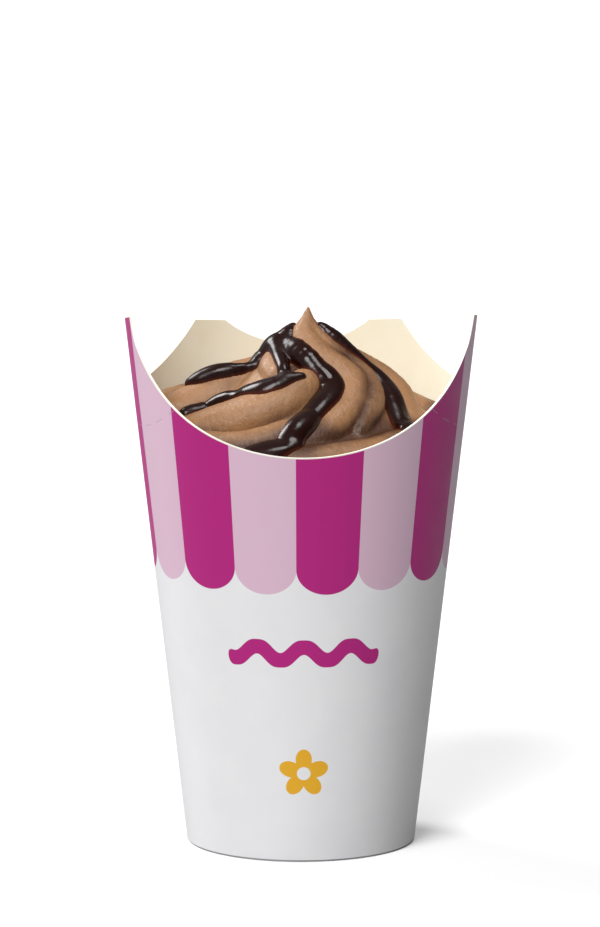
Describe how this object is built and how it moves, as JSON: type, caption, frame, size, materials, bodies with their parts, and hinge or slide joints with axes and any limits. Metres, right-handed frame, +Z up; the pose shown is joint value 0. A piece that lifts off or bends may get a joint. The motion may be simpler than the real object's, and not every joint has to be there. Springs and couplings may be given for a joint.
{
  "type": "hot fudge sundae",
  "caption": "Chocolate soft serve piped to a peak with thick poured fudge, in a tapered paper cup with a scooped, tabbed rim.",
  "frame": {"origin": "on the surface the cup stands on, at the cup's axis, which is the centre of the bounding box's bottom to 0.8 mm", "axes": "+Z up along the cup's axis; -Y towards the front, where the rim has its deep scoop; +X to the right seen from the front"},
  "size_m": [0.0778, 0.0736, 0.12],
  "materials": {
    "cup_paper": "printed matt paperboard",
    "cup_floor_paper": "plain paperboard",
    "chocolate_ice_cream": "soft, slightly moist chocolate soft serve",
    "hot_fudge": "thick glossy fudge"
  },
  "bodies": {
    "root": {"cup_wall": "cup_paper", "cup_floor": "cup_floor_paper", "ice_cream": "chocolate_ice_cream", "fudge_left": "hot_fudge", "fudge_right": "hot_fudge"}
  },
  "joints": []
}
